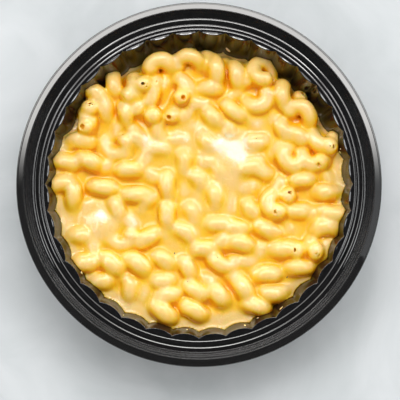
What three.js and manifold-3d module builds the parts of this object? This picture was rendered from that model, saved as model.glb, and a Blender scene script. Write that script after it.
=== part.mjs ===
// Macaroni and cheese in a round black take-away container.
//
// Millimetres, +Z up, origin at the middle of the container's base. The pasta
// stands clear of the container's wall on the +Y side.
//
// Two solids: the thin-walled container, with its fluted wall and ribbed rim,
// and the heap, which is the cheese sauce with the corkscrew macaroni that
// shows out of it fused on.

import * as THREE from 'three';
import Module from 'manifold-3d';
import { mergeVertices } from 'three/addons/utils/BufferGeometryUtils.js';

// ---- Driving dimensions: the container ----

const RIM_RADIUS = 108; // outside of the rim's skirt
const HEIGHT = 42; // base to the highest line of the rim
const WALL_TOP_RADIUS = 91.3; // inside the wall, at its upper edge, in a flute's hollow
const WALL_TOP_Z = 39.2;
const CREST_WIDTH = 0.2; // of the bevel round the wall's upper edge
const WALL_FLARE = THREE.MathUtils.degToRad(21); // wall's lean from upright
const FLOOR_RADIUS = 72; // flat part of the base
const CORNER_WIDTH = 4.9; // bevel between the base and the wall, measured level
const THICKNESS = 1.2; // base and flange
const WALL_OUTSET = 1.3; // wall thickness, measured level
const FLUTES = 36;
const FLUTE_DEPTH = 2.4;
const FLUTE_FADE = [3, 12]; // heights between which the flutes grow to full depth
const CORNER_Z = 5; // height where the wall starts
const RIDGE_RADII = [93.6, 97.3]; // low ridges round the flange
const RIDGE_HALF_WIDTH = 1;
const BAND_RADIUS = 99.4; // where the flange turns up towards the lip
const LIP_RADIUS = 103.4; // highest line of the rim
const FLANGE_Z = 38.4; // floor of the grooves between the ridges
const RIDGE_HEIGHT = 0.3;
const LIP_THICKNESS = 1.7; // measured upright
const EDGE_BEVEL = 0.7; // where the lip turns down into the skirt
const EDGE_DROP = 3; // from the highest line to that bevel
const SKIRT_DROP = 5.6; // how far the skirt hangs below the highest line
const SKIRT_INSIDE = 1.6; // height of the skirt's inner face

// ---- Driving dimensions: the sauce and the macaroni ----

const GAP = 0.35; // clearance between the heap and the container
const FOOT_GAP = 1.3; // the same, low down where the flutes fade out
const SAUCE_Z = 27.8; // mean level of the sauce
const SAUCE_MOUND = 1.6; // how much higher it lies in the middle
const SAUCE_DIP = 13; // how much lower it lies at the clear edge
const DIP_RADII = [60, 80]; // distances from the middle over which the dip grows
const DIP_Y = [20, 50]; // the same, towards the back
const TUBE_RADIUS = 5.2; // a macaroni tube with its coat of sauce
const COIL_RADIUS = 5.2; // of the tube's centre line round the corkscrew's axis
const PITCH = 13.6; // the corkscrew's advance in one turn
const TURNS = 1.2; // of most corkscrews

// ---- Fineness ----

const WALL_SEGMENTS = FLUTES * 4;
const ROUND_SEGMENTS = FLUTES * 2;
const COARSE_SEGMENTS = FLUTES; // under the macaroni
const SURFACE_RADII = [64, 36]; // of the rings in the sauce's surface
const TUBE_SIDES = 6;
const STEPS_PER_TURN = 7;

// ---- Corkscrews placed by hand: the ones that make the heap's outline ----
//
// x and y place the middle, and top is the height that the corkscrew reaches.
// heading is its axis's direction, counter-clockwise from +X, and tilt is how
// far its forward end is raised. At phase 0 the middle of the tube passes over
// the axis, at 180 under it. One without turns has the usual number.

const PLACED = [
  // along the clear edge at the back, from left to right
  { x: -66, y: 38, top: 34.5, heading: -15 },
  { x: -49, y: 44.5, top: 35, heading: -15, turns: 1.9, phase: 180 },
  { x: -39.5, y: 58, top: 35.5, heading: -8, tilt: 18, turns: 2.05, phase: 277 },
  { x: -21.5, y: 71, top: 36.5, heading: -135, tilt: 52, turns: 1.1, phase: 297 },
  { x: -4.5, y: 74, top: 36, heading: -135, tilt: 52, turns: 1.1, phase: 297 },
  { x: 16, y: 66.5, top: 36, heading: -15, turns: 1.9, phase: 180 },
  { x: 37.5, y: 67.5, top: 36.5, heading: 30, tilt: 80, turns: 1.3, phase: 200 },
  { x: 51, y: 53, top: 36, heading: -20, turns: 1.15 },
  { x: 61.5, y: 41.5, top: 36.5, heading: -170, tilt: 50, turns: 0.9, phase: 338 },
  { x: 71.5, y: 26.5, top: 36, heading: 30, tilt: 50, turns: 1.1, phase: 312 },
  { x: 59, y: 30, top: 34.5, heading: 36, turns: 1.1 },
  // behind the middle
  { x: -11, y: 46.5, top: 35.5, heading: 40, tilt: 58, turns: 1.1, phase: 42 },
  { x: 21, y: 44.5, top: 35.5, heading: 26 },
  { x: 34.5, y: 50.5, top: 34.5, heading: 60, tilt: 60, turns: 0.8 },
  { x: -50, y: 24, top: 34.8, heading: 0, tilt: 78, turns: 1.15 },
  // left side
  { x: -70, y: 25, top: 34.2, heading: 56, turns: 1.1 },
  { x: -66, y: 13, top: 35.5, heading: 46, turns: 1.1 },
  { x: -79.5, y: 12.5, top: 34.5, heading: 51, turns: 0.9 },
  { x: -83, y: 2, top: 34, heading: 86, turns: 0.8 },
  { x: -57, y: -1.5, top: 35.5, heading: 61, turns: 1.1 },
  { x: -41, y: 9, top: 35, heading: 68, turns: 1.4 },
  { x: -18, y: 0, top: 34.5, heading: -22, turns: 1.3 },
  { x: -38, y: -6, top: 34.8, heading: 66, turns: 1.4 },
  { x: -19, y: -18, top: 34.5, heading: -24, turns: 1.1 },
  { x: -31, y: -32, top: 34.5, heading: 91, turns: 1.3 },
  { x: -47, y: -30, top: 34, heading: 0, tilt: 75, turns: 1 },
  // the middle and the right side
  { x: 28, y: -0.5, top: 35, heading: 82, turns: 2.7 },
  { x: 8, y: -7, top: 34.3, heading: -14, turns: 1.1 },
  { x: 24.3, y: -36, top: 35.5, heading: 51, turns: 1.3 },
  { x: 44.5, y: -10.5, top: 35.3, heading: -45, tilt: 55, turns: 1.05, phase: 294 },
  { x: 61.5, y: 3, top: 34.8, heading: 76, turns: 1.1 },
  { x: 55, y: 17, top: 35.2, heading: -30, tilt: 60, turns: 0.8 },
  { x: 66.5, y: 16, top: 35, heading: 20, tilt: 55, turns: 0.8 },
  { x: 75, y: -4, top: 34.5, heading: 66, turns: 1.1 },
  { x: 79, y: -16, top: 35, heading: 56, turns: 1.1 },
  { x: 75, y: -26.5, top: 35.5, heading: 66, turns: 1.3 },
  { x: 40.5, y: -27, top: 35, heading: 36, turns: 1.4 },
  { x: 49, y: -37.5, top: 35.5, heading: 66, turns: 1.3 },
  // front
  { x: 40.5, y: -54, top: 35, heading: 66, turns: 1.3 },
  { x: 59, y: -49, top: 35.5, heading: 66, turns: 1.3 },
  { x: 26, y: -62, top: 35.5, heading: 8 },
  { x: 33, y: -73, top: 34.8, heading: 45, turns: 1.1 },
  { x: 11, y: -66, top: 34.5, heading: 11, turns: 1.1 },
  { x: -3, y: -74.5, top: 35, heading: 31, turns: 1.3 },
  { x: -21.5, y: -75.5, top: 35.5, heading: 16 },
  { x: -52, y: -47, top: 36, heading: 26, turns: 1.3 },
  { x: -36.5, y: -48, top: 36, heading: 24, turns: 1.3 },
  { x: -67, y: -45.5, top: 35, heading: 71, turns: 1 },
];

// ---- Chance: how far each corkscrew's tilt and pitch stray ----

const VARIETY = { seed: 5, tilt: 24, pitch: 1.2 };

// ---- The rule that fills the rest of the heap ----

const FILL = {
  seed: 20,
  count: 18,
  tries: 4000,
  radius: 76, // how far out a middle may lie
  spacing: 13.5, // least distance between middles
  clearEdge: { y: 45, radius: 66 }, // beyond both, only placed corkscrews lie
  top: [32.6, 34.4],
  turns: [0.9, 1.6],
  heading: { middle: 20, acrossX: 60, spread: 50 },
  tilt: 25,
};

const { cos, sin, tan, hypot, abs, max, PI } = Math;
const { degToRad, lerp, smoothstep } = THREE.MathUtils;

// ---- Forms shared by the container and the heap ----

/** How far a flute bulges inward at an angle round the wall, 0 to 1. */
function fluteBulge(angle) {
  return abs(sin((FLUTES / 2) * (angle - PI / 2))) ** 0.8;
}

/** Inside radius of the fluted wall at an angle and a height. */
function wallRadius(angle, z) {
  const hollow = WALL_TOP_RADIUS - (WALL_TOP_Z - z) * tan(WALL_FLARE);
  return hollow - FLUTE_DEPTH * smoothstep(z, ...FLUTE_FADE) * fluteBulge(angle);
}

/** A closed ring of points; radius and z are numbers or functions of the angle. */
function ring(segments, radius, z) {
  const valueAt = (value, angle) => (typeof value === 'function' ? value(angle) : value);
  return Array.from({ length: segments }, (_, i) => {
    const angle = (2 * PI * i) / segments;
    const r = valueAt(radius, angle);
    return new THREE.Vector3(r * cos(angle), r * sin(angle), valueAt(z, angle));
  });
}

/** A ring on the wall's inner face, moved out level by outset. */
function wallRing(z, outset = 0) {
  return ring(WALL_SEGMENTS, (angle) => wallRadius(angle, z) + outset, z);
}

/** Joins two rings that may have different numbers of points. */
function stitch(indices, inner, outer) {
  const at = (loop, i) => loop.start + (i % loop.count);
  let i = 0;
  let j = 0;
  while (i < inner.count || j < outer.count) {
    const innerIsNext = (i + 1) / inner.count <= (j + 1) / outer.count;
    if (innerIsNext) {
      indices.push(at(inner, i), at(inner, i + 1), at(outer, j));
      i += 1;
    } else {
      indices.push(at(inner, i), at(outer, j + 1), at(outer, j));
      j += 1;
    }
  }
}

/**
 * A closed solid through rings that run from the bottom's middle, out and up,
 * and back to the top's middle.
 */
function solidThroughRings(bottomZ, rings, topZ) {
  const points = [new THREE.Vector3(0, 0, bottomZ)];
  const loops = [{ start: 0, count: 1 }];
  for (const loop of rings) {
    loops.push({ start: points.length, count: loop.length });
    points.push(...loop);
  }
  loops.push({ start: points.length, count: 1 });
  points.push(new THREE.Vector3(0, 0, topZ));

  const indices = [];
  for (let k = 1; k < loops.length; k += 1) {
    stitch(indices, loops[k - 1], loops[k]);
  }
  const degenerate = (k) => new Set(indices.slice(k, k + 3)).size < 3;
  const faces = [];
  for (let k = 0; k < indices.length; k += 3) {
    if (!degenerate(k)) faces.push(...indices.slice(k, k + 3));
  }
  const geometry = new THREE.BufferGeometry().setFromPoints(points);
  geometry.setIndex(faces);
  return geometry;
}

// ---- The container ----

/** Thin shell: base, fluted wall, ribbed flange, raised lip and skirt. */
function containerGeometry() {
  const round = (radius, z) => ring(ROUND_SEGMENTS, radius, z);
  const skirtZ = HEIGHT - SKIRT_DROP;
  const underFlange = FLANGE_Z - THICKNESS;
  const ridges = RIDGE_RADII.toReversed().flatMap((radius) => [
    round(radius, FLANGE_Z + RIDGE_HEIGHT),
    round(radius - RIDGE_HALF_WIDTH, FLANGE_Z),
  ]);
  const outside = [
    round(FLOOR_RADIUS, 0),
    round(FLOOR_RADIUS + CORNER_WIDTH, THICKNESS),
    wallRing(CORNER_Z, WALL_OUTSET),
    wallRing(FLUTE_FADE[1], WALL_OUTSET),
    wallRing(underFlange, WALL_OUTSET),
    round(RIDGE_RADII[0], underFlange),
    round(BAND_RADIUS + RIDGE_HALF_WIDTH, underFlange),
    round(LIP_RADIUS, HEIGHT - LIP_THICKNESS),
    round(RIM_RADIUS - THICKNESS, skirtZ + SKIRT_INSIDE),
    round(RIM_RADIUS - THICKNESS, skirtZ),
  ];
  const rim = [
    round(RIM_RADIUS, skirtZ),
    round(RIM_RADIUS, HEIGHT - EDGE_DROP - EDGE_BEVEL),
    round(RIM_RADIUS - EDGE_BEVEL, HEIGHT - EDGE_DROP),
    round(LIP_RADIUS, HEIGHT),
    round(BAND_RADIUS, FLANGE_Z),
    ...ridges,
    round(WALL_TOP_RADIUS + CREST_WIDTH, FLANGE_Z),
  ];
  const inside = [
    wallRing(WALL_TOP_Z),
    wallRing(FLUTE_FADE[1]),
    wallRing(CORNER_Z),
    round(FLOOR_RADIUS + CORNER_WIDTH - THICKNESS, 2 * THICKNESS),
    round(FLOOR_RADIUS, THICKNESS),
  ];
  return solidThroughRings(0, [...outside, ...rim, ...inside], THICKNESS);
}

// ---- The sauce ----

/** Level of the sauce: a low mound with gentle swells, and a dip along the clear edge. */
function sauceLevel(x, y) {
  const out = hypot(x, y);
  const swells = 0.8 * sin(x / 17 + 1.3) * cos(y / 21 - 0.4) + 0.6 * sin(x / 9 - y / 13);
  const mound = SAUCE_MOUND * (1 - (out / WALL_TOP_RADIUS) ** 2);
  const dip = SAUCE_DIP * smoothstep(y, ...DIP_Y) * smoothstep(out, ...DIP_RADII);
  return SAUCE_Z + swells + mound - dip;
}

/** The sauce alone: it fills the container to its level and follows the flutes. */
function sauceGeometry() {
  const edgeRadius = (angle) => wallRadius(angle, SAUCE_Z - 1) - GAP;
  const levelAt = (radius, angle) => sauceLevel(radius * cos(angle), radius * sin(angle));
  const edgeZ = (angle) => levelAt(edgeRadius(angle), angle);
  const edge = ring(WALL_SEGMENTS, (angle) => wallRadius(angle, edgeZ(angle)) - GAP, edgeZ);
  const surfaceRings = SURFACE_RADII.map((radius) =>
    ring(COARSE_SEGMENTS, radius, (angle) => levelAt(radius, angle)),
  );
  const floorZ = THICKNESS + GAP;
  const rings = [
    ring(ROUND_SEGMENTS, FLOOR_RADIUS - GAP, floorZ),
    ring(ROUND_SEGMENTS, FLOOR_RADIUS + CORNER_WIDTH - THICKNESS - GAP, floorZ + THICKNESS),
    wallRing(CORNER_Z, -FOOT_GAP),
    wallRing(FLUTE_FADE[1], -FOOT_GAP),
    edge,
    ...surfaceRings,
  ];
  return solidThroughRings(floorZ, rings, sauceLevel(0, 0));
}

/** The room that the macaroni is trimmed to: it rests on the flutes' bulges. */
function roomGeometry() {
  const bulgeAngle = PI / 2 + PI / FLUTES;
  const side = (z) => ring(COARSE_SEGMENTS, wallRadius(bulgeAngle, z) - GAP, z);
  const bottomZ = FLUTE_FADE[1];
  return solidThroughRings(bottomZ, [side(bottomZ), side(HEIGHT)], HEIGHT);
}

// ---- The macaroni ----

/** Centre line of one corkscrew, a right-handed helix about a tilted axis. */
class CorkscrewPath extends THREE.Curve {
  constructor({ heading, tilt, turns, phase, pitch }) {
    super();
    this.turns = turns;
    this.pitch = pitch;
    this.phase = degToRad(phase);
    const turnAboutZ = new THREE.Matrix4().makeRotationZ(degToRad(heading));
    const raiseFront = new THREE.Matrix4().makeRotationY(-degToRad(tilt));
    this.pose = turnAboutZ.multiply(raiseFront);
  }

  getPoint(t, target = new THREE.Vector3()) {
    const turn = (t - 0.5) * this.turns;
    const angle = 2 * PI * turn + this.phase;
    target.set(this.pitch * turn, -COIL_RADIUS * sin(angle), COIL_RADIUS * cos(angle));
    return target.applyMatrix4(this.pose);
  }

  /** Highest point of the centre line. */
  crest() {
    return max(...this.getPoints(32).map((point) => point.z));
  }
}

/** One tube of macaroni, moved to its place so that it reaches its top height. */
function corkscrewGeometry({ x, y, top, heading, tilt, turns, phase, pitch }) {
  const path = new CorkscrewPath({ heading, tilt, turns, phase, pitch });
  const section = new THREE.Shape(
    Array.from({ length: TUBE_SIDES }, (_, i) => {
      const angle = (2 * PI * (i + 0.5)) / TUBE_SIDES;
      return new THREE.Vector2(TUBE_RADIUS * cos(angle), TUBE_RADIUS * sin(angle));
    }),
  );
  const geometry = new THREE.ExtrudeGeometry(section, {
    steps: max(6, Math.round(turns * STEPS_PER_TURN)),
    extrudePath: path,
  });
  return geometry.translate(x, y, top - TUBE_RADIUS - path.crest());
}

/** Repeatable draws between 0 and 1, by the Park and Miller rule. */
function seededDraws(seed) {
  let state = seed;
  return () => {
    state = (state * 16807) % 2147483647;
    return state / 2147483647;
  };
}

/** Corkscrews that fill the places the hand-placed ones leave. */
function filledCorkscrews() {
  const draw = seededDraws(FILL.seed);
  const all = [...PLACED];
  for (let k = 0; k < FILL.tries && all.length < PLACED.length + FILL.count; k += 1) {
    const x = FILL.radius * (2 * draw() - 1);
    const y = FILL.radius * (2 * draw() - 1);
    const [turned, high, tilted, long] = [draw(), draw(), draw(), draw()];
    const atClearEdge = y > FILL.clearEdge.y && hypot(x, y) > FILL.clearEdge.radius;
    const crowded = all.some((other) => hypot(other.x - x, other.y - y) < FILL.spacing);
    if (hypot(x, y) > FILL.radius || atClearEdge || crowded) continue;
    const { middle, acrossX, spread } = FILL.heading;
    all.push({
      x,
      y,
      top: lerp(...FILL.top, high),
      heading: middle + (acrossX * x) / FILL.radius + spread * (turned - 0.5),
      tilt: FILL.tilt * tilted ** 2,
      turns: lerp(...FILL.turns, long),
    });
  }
  return all.slice(PLACED.length);
}

/** The same corkscrews with stray tilts and pitches; the steeper ones keep more of their tilt. */
function variedCorkscrews(corkscrews) {
  const draw = seededDraws(VARIETY.seed);
  return corkscrews.map(({ tilt = 0, turns = TURNS, phase = 0, ...place }) => {
    const [, raised, longer] = [draw(), draw(), draw()].map((value) => 2 * value - 1);
    return {
      ...place,
      turns,
      phase,
      tilt: tilt + VARIETY.tilt * raised * (1 - tilt / 90),
      pitch: PITCH + VARIETY.pitch * longer,
    };
  });
}

// ---- Joining ----

const wasm = await Module();
wasm.setup();

/** A closed geometry as a solid that can be joined and cut. */
function toSolid(geometry) {
  geometry.deleteAttribute('normal');
  geometry.deleteAttribute('uv');
  const merged = mergeVertices(geometry, 1e-4);
  return new wasm.Manifold(
    new wasm.Mesh({
      numProp: 3,
      vertProperties: new Float32Array(merged.attributes.position.array),
      triVerts: new Uint32Array(merged.index.array),
    }),
  );
}

/** A joined solid as a geometry again. */
function toGeometry(solid) {
  const { vertProperties, triVerts, numProp } = solid.getMesh();
  const geometry = new THREE.BufferGeometry();
  geometry.setAttribute('position', new THREE.BufferAttribute(vertProperties, numProp));
  geometry.setIndex(new THREE.BufferAttribute(triVerts, 1));
  return geometry;
}

/** Sauce and macaroni as one body, without loose scraps or sealed hollows. */
function heapGeometry() {
  const corkscrews = variedCorkscrews([...PLACED, ...filledCorkscrews()]);
  const tubes = corkscrews.map(corkscrewGeometry).map(toSolid);
  const macaroni = tubes.reduce((pile, tube) => pile.add(tube));
  const heap = macaroni.intersect(toSolid(roomGeometry())).add(toSolid(sauceGeometry()));
  const [body] = heap.decompose().sort((a, b) => b.volume() - a.volume());
  return toGeometry(body);
}

// ---- The part ----

function part(name, geometry, material) {
  geometry.computeVertexNormals();
  const mesh = new THREE.Mesh(geometry, material);
  mesh.name = name;
  return mesh;
}

const blackPlastic = new THREE.MeshStandardMaterial({
  color: 0x0c0c0d,
  roughness: 0.22,
  metalness: 0,
});
const cheeseSauce = new THREE.MeshStandardMaterial({
  color: 0xf7cf6e,
  roughness: 0.38,
  metalness: 0,
});

const macAndCheese = new THREE.Group();
macAndCheese.add(
  part('container', containerGeometry(), blackPlastic),
  part('macaroni_cheese', heapGeometry(), cheeseSauce),
);

export default macAndCheese;
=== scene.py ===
"""The looks of macaroni and cheese in a round black take-away container.

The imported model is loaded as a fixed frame, and the pieces are built round it,
in the same place and size: the thin glossy container, the corkscrew macaroni,
and the cheese sauce that coats and joins it. Sizes here are in millimetres, as
they are on the drawing of the part, and become metres when a mesh is made.
"""

import logging
from collections.abc import Iterator, Sequence
from dataclasses import dataclass, replace
from enum import Enum

import bpy
import numpy as np
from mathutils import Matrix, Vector


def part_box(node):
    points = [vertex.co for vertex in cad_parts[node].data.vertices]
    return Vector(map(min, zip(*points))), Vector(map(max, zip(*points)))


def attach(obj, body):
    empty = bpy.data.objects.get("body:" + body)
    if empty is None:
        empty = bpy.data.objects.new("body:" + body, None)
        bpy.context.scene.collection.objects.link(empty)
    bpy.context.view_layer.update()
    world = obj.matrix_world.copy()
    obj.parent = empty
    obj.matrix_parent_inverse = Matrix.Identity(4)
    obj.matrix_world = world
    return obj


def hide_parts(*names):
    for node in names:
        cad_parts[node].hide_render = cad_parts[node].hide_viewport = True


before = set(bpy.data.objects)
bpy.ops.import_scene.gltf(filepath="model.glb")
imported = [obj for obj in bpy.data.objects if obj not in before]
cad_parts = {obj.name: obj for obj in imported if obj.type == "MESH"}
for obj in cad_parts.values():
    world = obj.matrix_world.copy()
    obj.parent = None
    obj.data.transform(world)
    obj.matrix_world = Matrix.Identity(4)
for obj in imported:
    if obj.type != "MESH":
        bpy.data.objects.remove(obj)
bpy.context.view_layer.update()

LOG = logging.getLogger("macaroni_cheese")
METRES = 0.001  # in one millimetre
BODY = "root"
UP = np.array([0.0, 0.0, 1.0])
CREST_POINTS = 33  # enough points of a corkscrew's centre line to find its height
BOUND_POINTS = 40  # enough of them to find its bounds
# The tone attribute holds painted shade in creases and on front sides, and painted highlights on
# the pools.
PAINTED_SHADE_TONE = "hollow"  # the number at each vertex that says how deep the sauce's tone is

Array = np.ndarray
Pair = tuple[float, float]
Pairs = tuple[Pair, ...]
Triple = tuple[float, float, float]
Colour = Triple
Stops = Sequence[tuple[float, Colour]]  # positions from 0 to 1, each with its colour
Socket = bpy.types.NodeSocket


# ---- Meshes from arrays ----


def mesh_object(name: str, points: Array, faces: Sequence[Array]) -> bpy.types.Object:
    """Makes a smooth-shaded object at the origin.

    Args:
        name: Name of the object and its mesh.
        points: One row of x, y, z for each vertex, in millimetres.
        faces: Arrays of vertex numbers, one row for each face. Every array
            has its own number of corners.

    Returns:
        The object, linked to the scene.
    """
    corners = np.concatenate([block.ravel() for block in faces]).astype(np.int32)
    sizes = np.concatenate([np.full(len(block), block.shape[1]) for block in faces])
    starts = np.concatenate([[0], np.cumsum(sizes)[:-1]]).astype(np.int32)
    mesh = bpy.data.meshes.new(name)
    mesh.vertices.add(len(points))
    mesh.vertices.foreach_set("co", (points * METRES).astype(np.float32).ravel())
    mesh.loops.add(len(corners))
    mesh.loops.foreach_set("vertex_index", corners)
    mesh.polygons.add(len(starts))
    mesh.polygons.foreach_set("loop_start", starts)
    mesh.update(calc_edges=True)
    mesh.validate()
    mesh.shade_smooth()
    made = bpy.data.objects.new(name, mesh)
    bpy.context.collection.objects.link(made)
    return made


def read_vertices(mesh: bpy.types.Mesh) -> tuple[Array, Array]:
    """Reads where a mesh's vertices are and which way they face.

    Args:
        mesh: The mesh.

    Returns:
        Places in millimetres and unit normals, one row for each vertex.
    """
    points = np.empty(3 * len(mesh.vertices), dtype=np.float32)
    normals = np.empty_like(points)
    mesh.vertices.foreach_get("co", points)
    mesh.vertex_normals.foreach_get("vector", normals)
    return points.reshape(-1, 3) / METRES, normals.reshape(-1, 3)


def grid_faces(rows: int, columns: int, close_rows: bool = False) -> Array:
    """Joins a grid of vertices whose columns close on themselves into quads.

    Args:
        rows: Number of rows in the grid.
        columns: Number of vertices in each row.
        close_rows: Whether the last row joins the first one too.

    Returns:
        One row of four vertex numbers for each quad.
    """
    row = np.arange(rows if close_rows else rows - 1)[:, None]
    column = np.arange(columns)[None, :]
    here = row * columns + column
    beside = row * columns + (column + 1) % columns
    next_row = (row + 1) % rows
    above = next_row * columns + column
    above_beside = next_row * columns + (column + 1) % columns
    return np.stack([here, beside, above_beside, above], axis=-1).reshape(-1, 4)


def capped_grid(grid: Array, first: Array, last: Array) -> tuple[Array, list[Array]]:
    """Closes a grid of rings with one vertex beyond each of its end rows.

    Args:
        grid: Vertices as rows by columns by three. Columns close.
        first: The vertex that closes the first row.
        last: The vertex that closes the last row.

    Returns:
        All the vertices, and the quads and triangles as a list of two arrays.
    """
    rows, columns = grid.shape[:2]
    points = np.concatenate([grid.reshape(-1, 3), first[None], last[None]])
    column = np.arange(columns)
    beside = (column + 1) % columns
    bottom = np.stack([np.full(columns, rows * columns), beside, column], axis=-1)
    base = (rows - 1) * columns
    top = np.stack([np.full(columns, rows * columns + 1), base + column, base + beside], axis=-1)
    return points, [grid_faces(rows, columns), np.concatenate([bottom, top])]


def bend(start: Array, corner: Array, end: Array, rows: int) -> Array:
    """A rounded corner: (1-t)^2 start + 2t(1-t) corner + t^2 end, without its start.

    Args:
        start: Where the rounding starts, as columns by two (radius and height).
        corner: The sharp corner that it rounds off.
        end: Where the rounding ends.
        rows: Number of rows to make.

    Returns:
        The rounding as rows by columns by two.
    """
    t = (np.arange(1, rows + 1) / rows)[:, None, None]
    return (1 - t) ** 2 * start + 2 * t * (1 - t) * corner + t**2 * end


def smoothstep(value: Array, low: float, high: float) -> Array:
    """Eases from 0 at low to 1 at high: 3t^2 - 2t^3, with t kept in 0 to 1."""
    t = np.clip((value - low) / (high - low), 0.0, 1.0)
    return t * t * (3 - 2 * t)


def bell(x: Array, y: Array, middle: Sequence[float], width: float) -> Array:
    """A round bell curve: e^(-d^2 / (2 width^2)), where d is the distance to the middle."""
    return np.exp(-((x - middle[0]) ** 2 + (y - middle[1]) ** 2) / (2 * width**2))


def unit(vectors: Array) -> Array:
    """Each row scaled to a length of 1."""
    return vectors / np.linalg.norm(vectors, axis=1, keepdims=True)


def mark_tone(piece: bpy.types.Object, tone: Array) -> None:
    """Stores the sauce's tone at each vertex of a piece; on the sauce it holds painted shade and
    painted highlights.
    """
    mark = piece.data.attributes.new(PAINTED_SHADE_TONE, "FLOAT", "POINT")
    mark.data.foreach_set("value", tone.astype(np.float32))


def finish_piece(
    piece: bpy.types.Object, material: bpy.types.Material, node: str
) -> bpy.types.Object:
    """Dresses a piece, fixes it to the body and reports it.

    Args:
        piece: The finished object.
        material: Its material.
        node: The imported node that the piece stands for.

    Returns:
        The same object.
    """
    piece.data.materials.clear()
    piece.data.materials.append(material)
    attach(piece, BODY)
    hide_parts(node)
    mesh = piece.data
    mesh.calc_loop_triangles()
    sizes = len(mesh.vertices), len(mesh.loop_triangles)
    LOG.info("%s: %d vertices, %d triangles", piece.name, *sizes)
    return piece


# ---- Finishes ----


class Pattern(Enum):
    """How far a noise folds into itself."""

    CLOUDED = 0.0
    MOTTLED = 1.2


def set_stops(ramp: bpy.types.ColorRamp, stops: Stops) -> None:
    """Gives a new colour ramp, which has two stops, the stops it needs.

    Args:
        ramp: The ramp.
        stops: The stops, in rising order.
    """
    for _ in stops[2:]:
        ramp.elements.new(0.5)
    for element, (position, colour) in zip(ramp.elements, stops):
        element.position = position
        element.color = (*colour, 1.0)


class Shader:
    """A Principled material in the making, with short calls for the nodes used here."""

    def __init__(self, name: str) -> None:
        """Starts the material. Its patterns follow the piece's own coordinates.

        Args:
            name: Name of the material.
        """
        self.material = bpy.data.materials.new(name)
        self.material.use_nodes = True
        self.tree = self.material.node_tree
        self.tree.nodes.clear()
        self.surface = self.tree.nodes.new("ShaderNodeBsdfPrincipled")
        output = self.tree.nodes.new("ShaderNodeOutputMaterial")
        self.join(self.surface.outputs["BSDF"], output.inputs["Surface"])
        self.place = self.tree.nodes.new("ShaderNodeTexCoord").outputs["Object"]

    def join(self, source: bpy.types.NodeSocket, target: bpy.types.NodeSocket) -> None:
        """Links two sockets."""
        self.tree.links.new(source, target)

    def set(self, **values: object) -> None:
        """Sets sockets of the Principled shader; an underscore stands for a space."""
        for name, value in values.items():
            self.surface.inputs[name.replace("_", " ")].default_value = value

    def noise(
        self, scale: float, detail: float = 2.0, pattern: Pattern = Pattern.CLOUDED
    ) -> Socket:
        """A noise over the piece.

        Args:
            scale: Cells for each metre.
            detail: Number of finer layers.
            pattern: How far the noise folds into itself.

        Returns:
            The noise's value, about 0.5 on average.
        """
        node = self.tree.nodes.new("ShaderNodeTexNoise")
        settings = {"Scale": scale, "Detail": detail, "Distortion": pattern.value}
        for name, value in settings.items():
            node.inputs[name].default_value = value
        self.join(self.place, node.inputs["Vector"])
        return node.outputs["Fac"]

    def attribute(self, name: str) -> Socket:
        """Reads a number that the mesh holds at each vertex.

        Args:
            name: Name of the number.

        Returns:
            The number.
        """
        node = self.tree.nodes.new("ShaderNodeAttribute")
        node.attribute_name = name
        return node.outputs["Fac"]

    def add(self, first: Socket, second: Socket) -> Socket:
        """Adds two numbers.

        Args:
            first: One number.
            second: The other number.

        Returns:
            Their sum.
        """
        node = self.tree.nodes.new("ShaderNodeMath")
        node.operation = "ADD"
        for value, socket in zip((first, second), node.inputs):
            self.join(value, socket)
        return node.outputs["Value"]

    def spread(self, value: Socket, low: float, high: float) -> Socket:
        """Maps a number from the range 0 to 1 onto another range.

        Args:
            value: The number.
            low: What 0 becomes.
            high: What 1 becomes.

        Returns:
            The mapped number.
        """
        node = self.tree.nodes.new("ShaderNodeMapRange")
        node.inputs["To Min"].default_value = low
        node.inputs["To Max"].default_value = high
        self.join(value, node.inputs["Value"])
        return node.outputs["Result"]

    def paint(self, value: Socket, stops: Stops) -> None:
        """Makes the surface's colour follow a number.

        Args:
            value: The number.
            stops: Colours in linear red, green and blue, with the numbers that give them.
        """
        node = self.tree.nodes.new("ShaderNodeValToRGB")
        set_stops(node.color_ramp, stops)
        self.join(value, node.inputs["Fac"])
        self.join(node.outputs["Color"], self.surface.inputs["Base Color"])

    def roughen(self, value: Socket, limits: Pair) -> None:
        """Makes the surface's roughness follow a number, between two limits."""
        self.join(self.spread(value, *limits), self.surface.inputs["Roughness"])

    def bump(self, height: Socket, distance: float, strength: float) -> None:
        """Adds a relief to the surface.

        Args:
            height: The relief, from 0 to 1.
            distance: Its depth in metres.
            strength: How much of it shows.
        """
        node = self.tree.nodes.new("ShaderNodeBump")
        node.inputs["Distance"].default_value = distance
        node.inputs["Strength"].default_value = strength
        self.join(height, node.inputs["Height"])
        self.join(node.outputs["Normal"], self.surface.inputs["Normal"])


@dataclass(frozen=True)
class PlasticFinish:
    """Glossy black moulded plastic with dust, faint smears of handling and a fine relief."""

    stops: Stops = ((0.3, (0.0042, 0.0042, 0.00455)), (0.75, (0.0096, 0.0096, 0.0104)))
    roughness: Pair = (0.02, 0.07)
    dust_scale: float = 342.0
    smear_scale: float = 38.0
    relief_scale: float = 900.0

    def material(self) -> bpy.types.Material:
        """Builds the material.

        Returns:
            The material.
        """
        shader = Shader("black_plastic")
        shader.paint(shader.noise(self.dust_scale, detail=3.0), self.stops)
        smears = shader.noise(self.smear_scale, detail=4.0, pattern=Pattern.MOTTLED)
        shader.roughen(smears, self.roughness)
        shader.set(IOR=1.75)
        shader.bump(shader.noise(self.relief_scale), distance=0.00002, strength=0.25)
        return shader.material


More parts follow.
